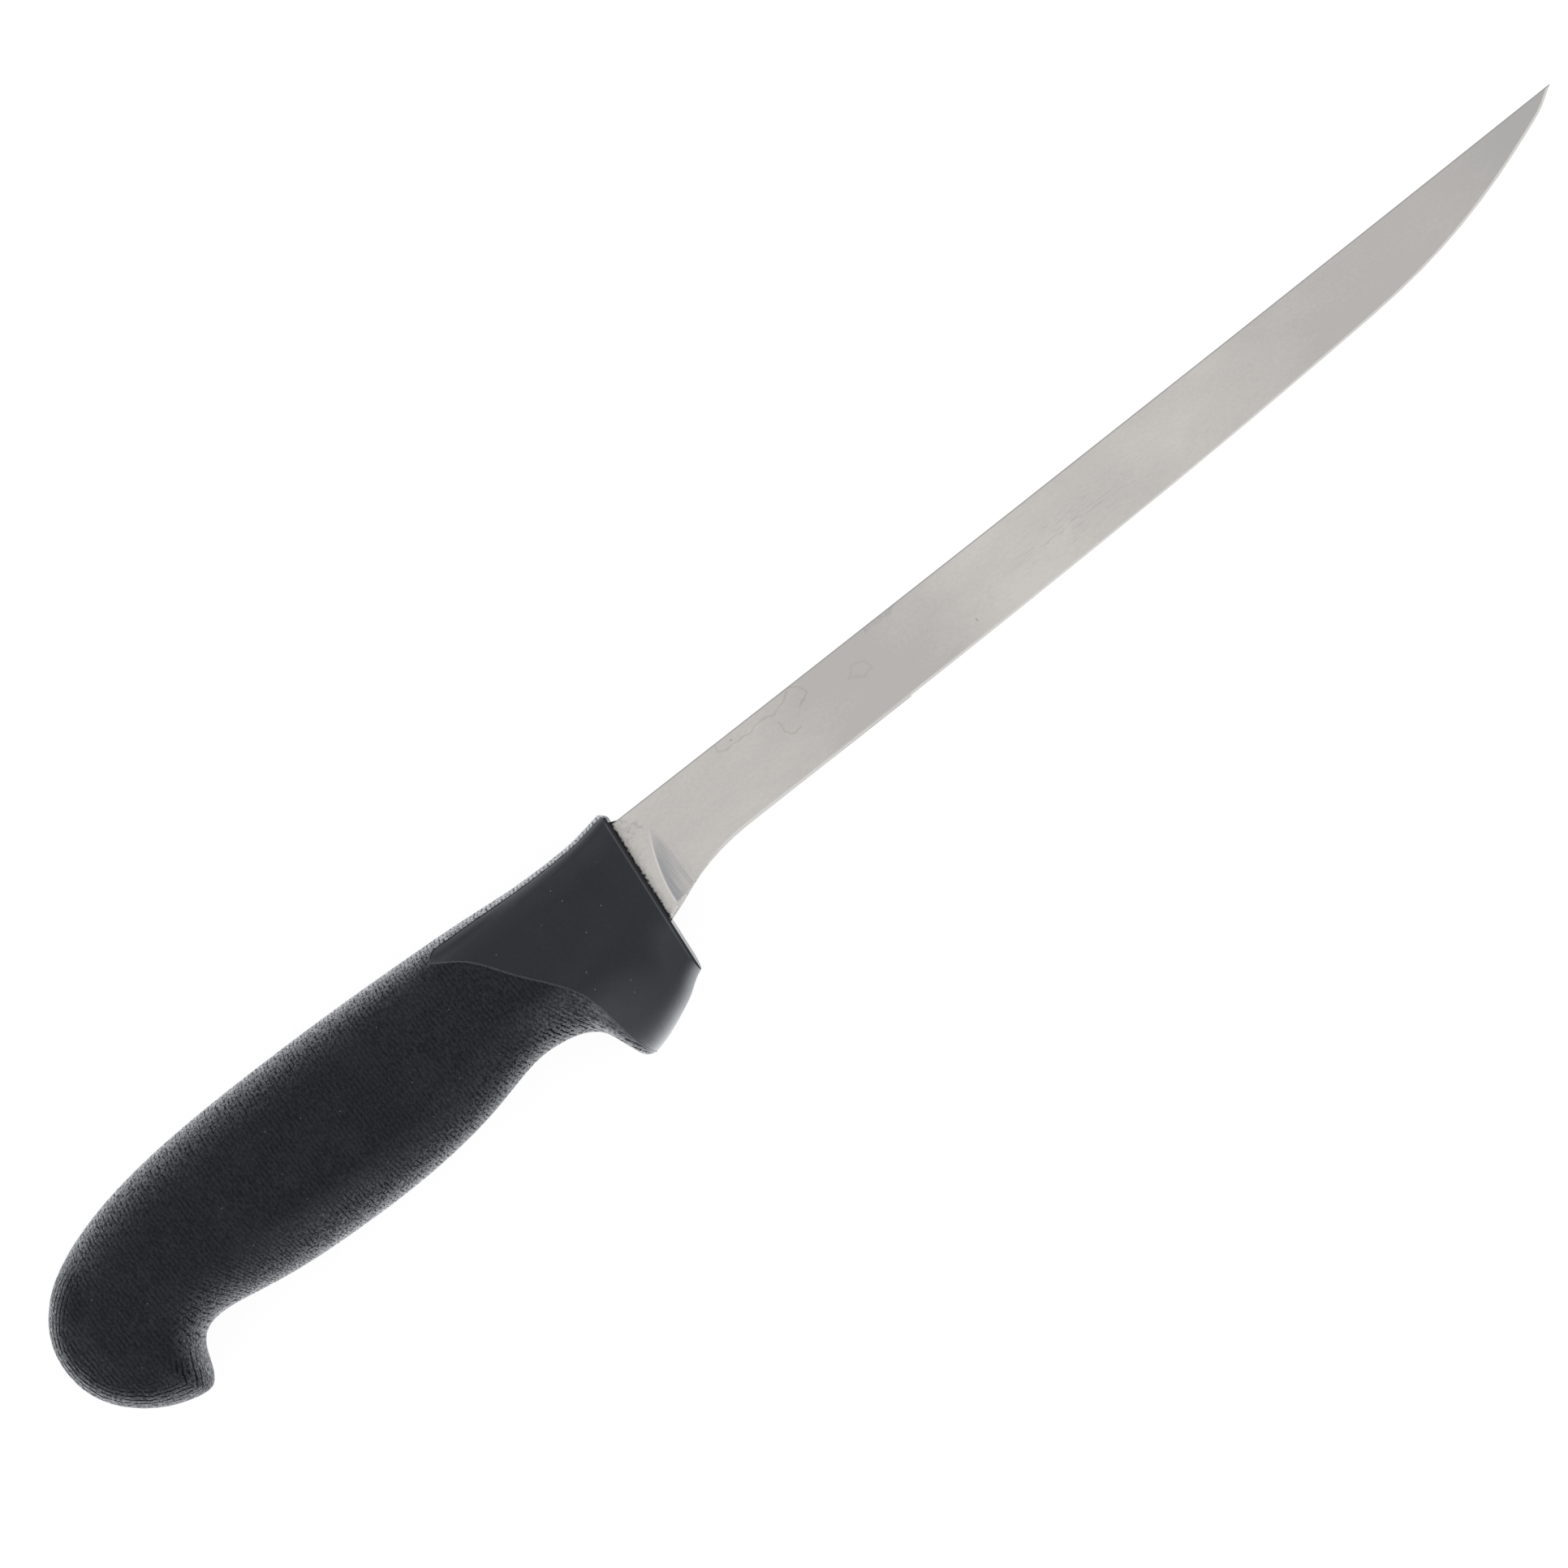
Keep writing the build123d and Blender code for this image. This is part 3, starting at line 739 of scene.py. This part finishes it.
# The raised stitches behind the guard and along the low end of the seam are painted paler, as light.
flat_spot = add(tree, "ShaderNodeCombineXYZ", (along, rise, 0.0))
behind_seam = near_line(tree, flat_spot, on_handle(shutoff_rear_shares).tolist())
seam_light_share = product(tree, ramp(tree, behind_seam, 0.8, 2.8, 1.0, 0.0), ramp(tree, rise, -20.0, -26.0))
painted_light_share = product(tree, guard_back, ramp(tree, depth, 0.8, 4.3, 0.1, 0.34))
painted_light_share = calc(tree, "ADD", painted_light_share, seam_light_share)
painted_light_share = product(tree, painted_light_share, ramp(tree, grain, 0.35, 0.65, 0.45, 1.25))
painted_light_share = product(tree, painted_light_share, calc(tree, "SUBTRACT", 1.0, product(tree, grooves, 0.9)))
tone = blend_colours(tree, painted_light_share, tone, painted_light_tone)
lint_spacing, lint_size = 6.5, 0.12
tone = blend_colours(tree, dust(tree, place, lint_spacing, lint_size), tone, lint_tone)
tree.links.new(tone, shader.inputs["Base Color"])

# The sheen also changes by place: more at the front, in the belly and at the palm, less on the low rim.
low_side = ramp(tree, rise, -13.0, -17.0)
front_gain = product(tree, ramp(tree, along, -62.0, -42.0), ramp(tree, roundness, 0.0, 0.4, 0.15, 0.0))
worn_gloss = product(tree, worn_gloss, calc(tree, "ADD", front_gain, 1.0))
low_rim = product(tree, low_side, ramp(tree, along, -76.0, -42.0), ramp(tree, depth, 2.4, 4.0, 1.0, 0.0))
low_rim = product(tree, low_rim, calc(tree, "SUBTRACT", 1.0, guard_back))
worn_gloss = product(tree, worn_gloss, ramp(tree, low_rim, 0.0, 1.0, 1.0, 0.76))
low_belly = product(tree, low_side, bell(tree, depth, 6.6, 4.0), ramp(tree, along, -100.0, -85.0))
worn_gloss = product(tree, worn_gloss, ramp(tree, low_belly, 0.0, 1.0, 1.0, 1.38))
palm_light = product(tree, low_side, bell(tree, depth, 5.0, 4.0), bell(tree, along, -75.0, 15.0))
worn_gloss = product(tree, worn_gloss, ramp(tree, palm_light, 0.0, 1.0, 1.0, 1.25))
most_gloss = 2.2
worn_gloss = calc(tree, "MINIMUM", worn_gloss, most_gloss)

# The grooves lie in shade, which is deeper round the butt, on the rounded edges and behind the guard.
butt_shadow = ramp(tree, at_butt, 0.0, 1.0, 0.5, 0.85)
round_shadow = ramp(tree, roundness, 0.0, 0.8, 0.5, 0.8)
deepest = calc(tree, "MAXIMUM", butt_shadow, round_shadow)
deepest = calc(tree, "MAXIMUM", deepest, product(tree, guard_back, 1.35))
deepest = calc(tree, "MAXIMUM", deepest, palm_light)
shadowed = product(tree, grooves, deepest)
gloss = product(tree, worn_gloss, calc(tree, "SUBTRACT", 1.0, shadowed))
tree.links.new(gloss, shader.inputs["Sheen Weight"])
height = calc(tree, "SUBTRACT", product(tree, grain, 0.5), grooves)
bump = {"Height": height, "Strength": 0.8, "Distance": groove_depth / 1000}
tree.links.new(add(tree, "ShaderNodeBump", bump), shader.inputs["Normal"])

spots = np.array([vertex.co for vertex in result.vertices])
spots = (spots - np.array(root)) * 1000
top_steps, bottom_steps = 1200, 1600
outline = np.vstack(
    [
        top_line(np.linspace(0, top_run[-1], top_steps)),
        bottom_line(np.linspace(bottom_run[-1], 0, bottom_steps)),
    ]
)
outline_run = np.concatenate([[0], np.cumsum(np.linalg.norm(np.diff(outline, axis=0), axis=1))])
outline_tree = KDTree(len(outline))
for index, (s, t) in enumerate(outline):
    outline_tree.insert((s, t, 0), index)
outline_tree.balance()
border = np.vstack([top_edge, corner_edge[1:-1], rear_edge])
border_tree = KDTree(len(border))
for index, (s, t) in enumerate(border):
    border_tree.insert((s, t, 0), index)
border_tree.balance()
skin_tree = BVHTree.FromPolygons(skin_vertices.tolist(), skin_faces)
lean_shares = (
    (-0.885, 0.0),
    (-0.83, 0.0),
    (-0.765, 0.5),
    (-0.74, 0.5),
    (-0.65, 0.0),
    (-0.335, 0.0),
    (-0.22, 0.4),
    (-0.15, 0.45),
)
lean_start = -16.5
lean_places = [share * handle_length for share, lean in lean_shares]
leans = [lean for share, lean in lean_shares]
rim_start, rim_end = [
    outline_run[outline_tree.find((*spot, 0))[1]] for spot in on_handle(((0.875, 0.025), (0.8296, -0.625)))
]
rim_depth, rim_fade = 3.4, 2.2
start_fade, end_fade = 8.0, 4.0
rounding_reach = 4.0
deep_side = 5.0
side_rows, row_scale = 0.3, 0.8
border_gap, border_fade = 0.2, 0.5
skin_reach = 0.004
rows, rim_rows, rim_share, skin_share, rounded, depths = [], [], [], [], [], []
for s, t, z in spots:
    near, index, inset = outline_tree.find((s, t, 0))
    at_rim = outline_run[index]
    upper_half = index < top_steps
    lean = np.interp(s, lean_places, leans)
    side = handle_width / 2 - abs(z)
    rounded.append(min(1.0, side / rounding_reach))
    depths.append(inset)
    rows.append((s - lean * max(0.0, lean_start - t), -t - side if upper_half else side - t, 0.0))
    across_rim = inset - side_rows * min(side, deep_side) - max(0.0, side - deep_side)
    rim_rows.append((row_scale * across_rim, at_rim, 0.0))
    start = np.clip((at_rim - rim_start) / start_fade, 0, 1)
    end = np.clip((rim_end - at_rim) / end_fade, 0, 1)
    rim_share.append(float(min(start, end) * np.clip((rim_depth + rim_fade - inset) / rim_fade, 0, 1)))
    hit = skin_tree.find_nearest((s, t, z))
    away = border_tree.find((s, t, 0))[2]
    on_skin = hit[3] < skin_reach
    skin_share.append(float(np.clip((away - border_gap) / border_fade, 0, 1)) if on_skin else 0.0)
for name, values in (("rows", rows), ("rim_rows", rim_rows)):
    stored = result.attributes.new(name, "FLOAT_VECTOR", "POINT")
    stored.data.foreach_set("vector", np.array(values, dtype=np.float32).ravel())
shares = {"rim_share": rim_share, "skin_share": skin_share, "roundness": rounded, "outline_depth": depths}
for name, values in shares.items():
    stored = result.attributes.new(name, "FLOAT", "POINT")
    stored.data.foreach_set("value", np.array(values, dtype=np.float32))
grip = bpy.data.objects.new("knit_grip", result)
bpy.context.scene.collection.objects.link(grip)
for helper in (skin_body, hollow, core_block, front_air):
    bpy.data.objects.remove(helper)


def new_tree(name, inputs):
    """Empty geometry tree with named inputs, and the node that holds them."""
    tree = bpy.data.node_groups.new(name, "GeometryNodeTree")
    tree.interface.new_socket("Geometry", in_out="INPUT", socket_type="NodeSocketGeometry")
    for label, value in inputs.items():
        made = tree.interface.new_socket(label, in_out="INPUT", socket_type="NodeSocketFloat")
        made.default_value = value
    tree.interface.new_socket("Geometry", in_out="OUTPUT", socket_type="NodeSocketGeometry")
    return tree, tree.nodes.new("NodeGroupInput")


def finish_tree(tree, geometry, material):
    """Ends a tree in plain mesh with its material."""
    plain = add(tree, "GeometryNodeRealizeInstances", (geometry,))
    finished = add(tree, "GeometryNodeSetMaterial", {"Geometry": plain, "Material": material})
    tree.links.new(finished, tree.nodes.new("NodeGroupOutput").inputs[0])


def apply_tree(piece, tree, **sizes):
    """Runs a geometry tree on a piece with these sizes and keeps the plain mesh."""
    modifier = piece.modifiers.new(tree.name, "NODES")
    modifier.node_group = tree
    for item in tree.interface.items_tree:
        if item.in_out == "INPUT" and item.name in sizes:
            modifier[item.identifier] = sizes[item.name]
    graph = bpy.context.evaluated_depsgraph_get()
    mesh = bpy.data.meshes.new_from_object(piece.evaluated_get(graph))
    piece.modifiers.remove(modifier)
    piece.data = mesh


knit, given = new_tree(
    "knit_relief",
    {"Row Pitch": row_pitch, "Stitch": stitch_length, "Groove Depth": groove_depth, "Seed": pattern_seed},
)


def read_in_tree(name, kind):
    """Value of a mesh attribute in the knit's tree."""
    node = knit.nodes.new("GeometryNodeInputNamedAttribute")
    node.data_type = kind
    node.inputs["Name"].default_value = name
    return node.outputs["Attribute"]


sizes = given.outputs
grooves = both_grooves(knit, read_in_tree, sizes["Row Pitch"], sizes["Stitch"], sizes["Seed"])
spot = add(knit, "GeometryNodeInputPosition")
spot = add(knit, "ShaderNodeVectorMath", {"Vector": spot, "Scale": 1000.0}, operation="SCALE")
uneven = calc(knit, "MULTIPLY", calc(knit, "SUBTRACT", noise(knit, spot, 1.1, 2.0), 0.5), 0.9)
deep = calc(knit, "MULTIPLY", calc(knit, "SUBTRACT", uneven, grooves), sizes["Groove Depth"])
deep = calc(knit, "MULTIPLY", deep, read_in_tree("skin_share", "FLOAT"))
normal = add(knit, "GeometryNodeInputNormal")
metres = calc(knit, "MULTIPLY", deep, 0.001)
moved = add(knit, "ShaderNodeVectorMath", {"Vector": normal, "Scale": metres}, operation="SCALE")
carved = add(knit, "GeometryNodeSetPosition", {"Geometry": sizes["Geometry"], "Offset": moved})
finish_tree(knit, carved, grip_rubber)
apply_tree(grip, knit)
grip.data.shade_smooth()
crease_angle = 50
grip.data.set_sharp_from_angle(angle=radians(crease_angle))
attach(grip, "root")
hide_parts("grip")


def surface_path(line):
    """Places on the right side of the handle along a line of its side view."""
    found = []
    for s, t in line:
        hit = skin_tree.ray_cast((s, t, 2 * handle_width), (0, 0, -1))[0]
        if hit is not None:
            found.append(tuple(hit))
    return found


def path_piece(name, places):
    """Open line through places, as a mesh of edges."""
    mesh = bpy.data.meshes.new(name)
    mesh.from_pydata(to_metres(places), [(i, i + 1) for i in range(len(places) - 1)], [])
    piece = bpy.data.objects.new(name, mesh)
    bpy.context.scene.collection.objects.link(piece)
    return piece


ridge_radius, shadow_line_radius = 0.00012, 0.00007
tube_corners = 8
ridge_tree, given = new_tree("moulded_line", {"Line Radius": ridge_radius})
curve = add(ridge_tree, "GeometryNodeMeshToCurve", (given.outputs["Geometry"],))
inputs = {"Resolution": tube_corners, "Radius": given.outputs["Line Radius"]}
circle = add(ridge_tree, "GeometryNodeCurvePrimitiveCircle", inputs)
inputs = {"Curve": curve, "Profile Curve": circle, "Fill Caps": True}
tube = add(ridge_tree, "GeometryNodeCurveToMesh", inputs)
smooth = add(ridge_tree, "GeometryNodeSetShadeSmooth", (tube,))
finish_tree(ridge_tree, smooth, plastic)
dense_steps = 400
dense_rear, run = smooth_line(shutoff_rear)
ending = 1 - np.linspace(1, 0, dense_steps) ** 2
right = surface_path(np.vstack([corner_edge, dense_rear(run[-1] * ending)]))
left = [(s, t, -z) for s, t, z in reversed(right)]
ridge = path_piece("shut_off_ridge", right + left)
apply_tree(ridge, ridge_tree)
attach(ridge, "root")

# A thin black tube along the top of the cheek, where the skin meets it, paints a dark hairline of shade.
seam_shadow, tree, shader = new_material("seam_shadow_line")
shader.inputs["Base Color"].default_value = (0.002, 0.002, 0.002, 1)
shader.inputs["Roughness"].default_value = 1.0
shader.inputs["Specular IOR Level"].default_value = 0.0
front_stop = 0.3
in_front = top_edge[top_edge[:, 0] < front_top[0] - front_stop]
for name, side in (("seam_shadow_right", 1), ("seam_shadow_left", -1)):
    gap = path_piece(name, [(s, t, side * z) for s, t, z in surface_path(in_front)])
    apply_tree(gap, ridge_tree, **{"Line Radius": shadow_line_radius})
    gap.data.materials[0] = seam_shadow
    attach(gap, "root")


# Web and flake: a thin tongue and a loose flake of the core's plastic, which ran out over the spine of the
# blade where it leaves the tool and were never trimmed off.
web_outline = np.array(((-0.95, -0.1), (0.3, -0.1), (0.35, 0.06), (-0.35, 0.35), (-0.9, 0.65)))
web_width = 1.2
web_rounding = 0.00012
flake_width = 0.3
web = prism("spine_web", web_outline, web_width)
web.data.materials.append(plastic)
bevel = web.modifiers.new("soft edges", "BEVEL")
bevel.width = web_rounding
bevel.segments = 2
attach(web, "root")
# The flake is painted light grey for the light that the thin plastic catches.
lit_flash_plastic, tree, shader = new_material("lit_thin_flash")
shader.inputs["Base Color"].default_value = (0.42, 0.43, 0.45, 1)
shader.inputs["Roughness"].default_value = 0.4
flake_outline = np.array(((-1.25, 0.9), (-0.98, 0.72), (-0.5, 1.6), (-1.15, 2.25)))
flake = prism("spine_flake", flake_outline, flake_width)
flake.data.materials.append(lit_flash_plastic)
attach(flake, "root")


# Table: a plain white sheet under the knife, in a bright room of soft white light.
floor_half = 1.5
floor_drop = 0.00002
table_tone = (0.9, 0.9, 0.9, 1)
table_glow, glow_share = 1.05, 0.88
mesh = bpy.data.meshes.new("table")
corner_signs = ((-1, -1), (1, -1), (1, 1), (-1, 1))
floor_corners = [(x * floor_half, y * floor_half, -floor_drop) for x, y in corner_signs]
mesh.from_pydata(floor_corners, [], [(0, 1, 2, 3)])
table = bpy.data.objects.new("table", mesh)
bpy.context.scene.collection.objects.link(table)
white, tree, shader = new_material("white_table")
shader.inputs["Base Color"].default_value = table_tone
shader.inputs["Roughness"].default_value = 0.8
shader.inputs["Specular IOR Level"].default_value = 0.0
rays = tree.nodes.new("ShaderNodeLightPath")
seen = calc(tree, "MAXIMUM", rays.outputs["Is Camera Ray"], rays.outputs["Is Glossy Ray"])
glow = tree.nodes.new("ShaderNodeEmission")
glow.inputs["Strength"].default_value = table_glow
mixed = tree.nodes.new("ShaderNodeMixShader")
tree.links.new(calc(tree, "MULTIPLY", seen, glow_share), mixed.inputs[0])
tree.links.new(shader.outputs[0], mixed.inputs[1])
tree.links.new(glow.outputs[0], mixed.inputs[2])
tree.links.new(mixed.outputs[0], tree.nodes["Material Output"].inputs["Surface"])
table.data.materials.append(white)

room_light, room_seen = 0.86, 1.0
world = bpy.data.worlds.new("white_room")
bpy.context.scene.world = world
world.use_nodes = True
tree = world.node_tree
rays = tree.nodes.new("ShaderNodeLightPath")
seen = rays.outputs["Is Camera Ray"]
room = tree.nodes["Background"]
room.inputs["Color"].default_value = (1, 1, 1, 1)
tree.links.new(ramp(tree, seen, 0.0, 1.0, room_light, room_seen), room.inputs["Strength"])


def soft_lamp(name, place, size, power):
    """Square lamp that shines on the middle of the knife."""
    light = bpy.data.lights.new(name, "AREA")
    light.size = size
    light.energy = power
    lamp = bpy.data.objects.new(name, light)
    lamp.location = place
    lamp.rotation_euler = Vector(place).to_track_quat("Z", "Y").to_euler()
    lamp.visible_glossy = False
    bpy.context.scene.collection.objects.link(lamp)


lamp_size, lamp_power = 1.0, 5.0
soft_lamp("spine_side_lamp", (-0.4, 1.2, 0.7), lamp_size, lamp_power)
soft_lamp("edge_side_lamp", (0.7, -1.0, 0.7), lamp_size, lamp_power)

# Camera: straight over the middle of the picture, turned so that the blade rises to the right.
camera_height = 632.0
view_width = 267.8
sensor = 36.0
view_middle = (26.7, -12.8)
view_turn = 38.24
camera = bpy.data.objects.new("camera", bpy.data.cameras.new("camera"))
camera.data.sensor_width = sensor
camera.data.lens = sensor * camera_height / view_width
camera.location = to_metres([(*view_middle, camera_height)])[0]
camera.rotation_euler = (0, 0, -radians(view_turn))
bpy.context.scene.collection.objects.link(camera)
bpy.context.scene.camera = camera
bpy.context.scene.view_settings.view_transform = "Standard"
